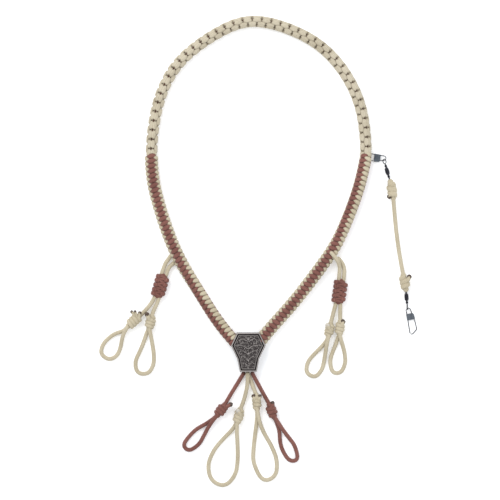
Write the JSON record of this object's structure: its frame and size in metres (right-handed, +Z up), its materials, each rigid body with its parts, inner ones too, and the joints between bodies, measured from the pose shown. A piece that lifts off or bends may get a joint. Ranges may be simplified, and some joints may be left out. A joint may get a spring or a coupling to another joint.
{
  "type": "braided game call neck lanyard",
  "caption": "Braided cord neck lanyard laid flat: neck loop and two-colour legs meeting in a metal slide, looped call drops, sleeved side drops, and a side cord with a swivelling spring hook.",
  "frame": {"origin": "centre of the neck loop and slide's bounding box, on the table plane the lanyard lies on", "axes": "+Z up from the table, +Y from the slide towards the top of the neck loop, +X towards the wearer's left leg of the loop as seen from above, where the snap cord hangs"},
  "size_m": [0.3182, 0.4713, 0.0156],
  "materials": {
    "tan_cord": "woven nylon",
    "brown_cord": "woven nylon",
    "core_cord": "woven nylon",
    "slide_metal": "dark antique pewter",
    "swivel_metal": "black nickel",
    "snap_metal": "satin grey"
  },
  "bodies": {
    "neck_loop": {"neck_braid": "tan_cord", "neck_core": "core_cord", "left_leg_braid": "brown_cord", "left_leg_core": "core_cord", "right_leg_braid": "brown_cord", "right_leg_core": "core_cord", "slide_shell": "slide_metal", "slide_face": "slide_metal", "slide_cords": "tan_cord"},
    "brown_left_drop": {"brown_left_stem": "brown_cord", "brown_left_knot": "brown_cord", "brown_left_loop": "brown_cord"},
    "tan_left_drop": {"tan_left_stem": "tan_cord", "tan_left_knot": "tan_cord", "tan_left_loop": "tan_cord"},
    "tan_right_drop": {"tan_right_stem": "tan_cord", "tan_right_knot": "tan_cord", "tan_right_loop": "tan_cord"},
    "brown_right_drop": {"brown_right_stem": "brown_cord", "brown_right_knot": "brown_cord", "brown_right_loop": "brown_cord"},
    "left_pair": {"left_drop_outer_cord": "tan_cord", "left_drop_inner_cord": "tan_cord"},
    "left_sleeve_body": {"left_sleeve": "brown_cord"},
    "left_outer_branch": {"left_outer_stem": "tan_cord", "left_outer_knot": "tan_cord", "left_outer_loop": "tan_cord"},
    "left_inner_branch": {"left_inner_stem": "tan_cord", "left_inner_knot": "tan_cord", "left_inner_loop": "tan_cord"},
    "right_pair": {"right_drop_outer_cord": "tan_cord", "right_drop_inner_cord": "tan_cord"},
    "right_sleeve_body": {"right_sleeve": "brown_cord"},
    "right_outer_branch": {"right_outer_stem": "tan_cord", "right_outer_knot": "tan_cord", "right_outer_loop": "tan_cord"},
    "right_inner_branch": {"right_inner_stem": "tan_cord", "right_inner_knot": "tan_cord", "right_inner_loop": "tan_cord"},
    "upper_snap": {"upper_snap_wire": "snap_metal", "upper_snap_plate": "snap_metal"},
    "upper_link": {"upper_snap_eye": "swivel_metal"},
    "upper_swivel": {"upper_barrel": "swivel_metal"},
    "clip_line": {"upper_cord_eye": "swivel_metal", "upper_clip_knot": "tan_cord", "clip_cord": "tan_cord", "lower_clip_knot": "tan_cord", "lower_cord_eye": "swivel_metal"},
    "lower_swivel": {"lower_barrel": "swivel_metal"},
    "lower_link": {"lower_snap_eye": "swivel_metal"},
    "lower_snap": {"lower_snap_wire": "snap_metal", "lower_snap_plate": "snap_metal"},
    "snap_gate": {"lower_snap_gate": "snap_metal"}
  },
  "joints": [
    {"name": "brown_left_swing", "type": "hinge", "parent": "neck_loop", "child": "brown_left_drop", "pos_m": [-0.01455, -0.1802, 0.0033], "axis": [0, 0, 1], "range_deg": [-15, 3]},
    {"name": "tan_left_swing", "type": "hinge", "parent": "neck_loop", "child": "tan_left_drop", "pos_m": [-0.01075, -0.1802, 0.0075], "axis": [0, 0, 1], "range_deg": [-3, 3]},
    {"name": "tan_right_swing", "type": "hinge", "parent": "neck_loop", "child": "tan_right_drop", "pos_m": [-0.01025, -0.1802, 0.0032], "axis": [0, 0, 1], "range_deg": [-3, 1]},
    {"name": "brown_right_swing", "type": "hinge", "parent": "neck_loop", "child": "brown_right_drop", "pos_m": [-0.00575, -0.1802, 0.0033], "axis": [0, 0, 1], "range_deg": [-1, 15]},
    {"name": "left_pair_swing", "type": "hinge", "parent": "neck_loop", "child": "left_pair", "pos_m": [-0.08565, -0.0657, 0.0024], "axis": [0, 0, 1], "range_deg": [-10, 10]},
    {"name": "left_sleeve_slide", "type": "slide", "parent": "left_pair", "child": "left_sleeve_body", "axis": [0.276, 0.9611, 0], "range_m": [0, 0.0035]},
    {"name": "left_outer_swing", "type": "hinge", "parent": "left_pair", "child": "left_outer_branch", "pos_m": [-0.1031, -0.103, 0.0052], "axis": [0, 0, 1], "range_deg": [-12, 3]},
    {"name": "left_inner_swing", "type": "hinge", "parent": "left_pair", "child": "left_inner_branch", "pos_m": [-0.09895, -0.1042, 0.0052], "axis": [0, 0, 1], "range_deg": [-3, 12]},
    {"name": "right_pair_swing", "type": "hinge", "parent": "neck_loop", "child": "right_pair", "pos_m": [0.07585, -0.0607, 0.009], "axis": [0, 0, 1], "range_deg": [-6, 6]},
    {"name": "right_sleeve_slide", "type": "slide", "parent": "right_pair", "child": "right_sleeve_body", "axis": [0.1392, 0.9903, 0], "range_m": [0, 0.0035]},
    {"name": "right_inner_swing", "type": "hinge", "parent": "right_pair", "child": "right_inner_branch", "pos_m": [0.0776, -0.1101, 0.0052], "axis": [0, 0, 1], "range_deg": [-12, 0]},
    {"name": "right_outer_swing", "type": "hinge", "parent": "right_pair", "child": "right_outer_branch", "pos_m": [0.08225, -0.1106, 0.0052], "axis": [0, 0, 1], "range_deg": [0, 12]},
    {"name": "upper_snap_swing", "type": "hinge", "parent": "neck_loop", "child": "upper_snap", "pos_m": [0.10785, 0.037, 0.0021], "axis": [0, 0, 1], "range_deg": [-5, 5]},
    {"name": "upper_link_swing", "type": "hinge", "parent": "upper_snap", "child": "upper_link", "pos_m": [0.12585, 0.03425, 0.0021], "axis": [0, 0, 1], "range_deg": [-6, 20]},
    {"name": "upper_barrel_spin", "type": "hinge", "parent": "upper_link", "child": "upper_swivel", "pos_m": [0.12917, 0.02207, 0.0021], "axis": [-0.2669, 0.9637, 0], "continuous": true},
    {"name": "clip_line_spin", "type": "hinge", "parent": "upper_swivel", "child": "clip_line", "pos_m": [0.12917, 0.02207, 0.0021], "axis": [-0.2669, 0.9637, 0], "continuous": true},
    {"name": "lower_barrel_spin", "type": "hinge", "parent": "clip_line", "child": "lower_swivel", "pos_m": [0.14845, -0.1038, 0.0021], "axis": [-0.0807, 0.9967, 0], "continuous": true},
    {"name": "lower_link_spin", "type": "hinge", "parent": "lower_swivel", "child": "lower_link", "pos_m": [0.14845, -0.1038, 0.0021], "axis": [-0.0807, 0.9967, 0], "continuous": true},
    {"name": "lower_snap_swing", "type": "hinge", "parent": "lower_link", "child": "lower_snap", "pos_m": [0.14962, -0.11568, 0.0021], "axis": [0, 0, 1], "range_deg": [-20, 8]},
    {"name": "snap_gate_open", "type": "hinge", "parent": "lower_snap", "child": "snap_gate", "pos_m": [0.15307, -0.141, 0.00056], "axis": [-0.0113, 0.0547, -0.9984], "range_deg": [0, 20], "stiffness_Nm_per_rad": 0.0005}
  ]
}
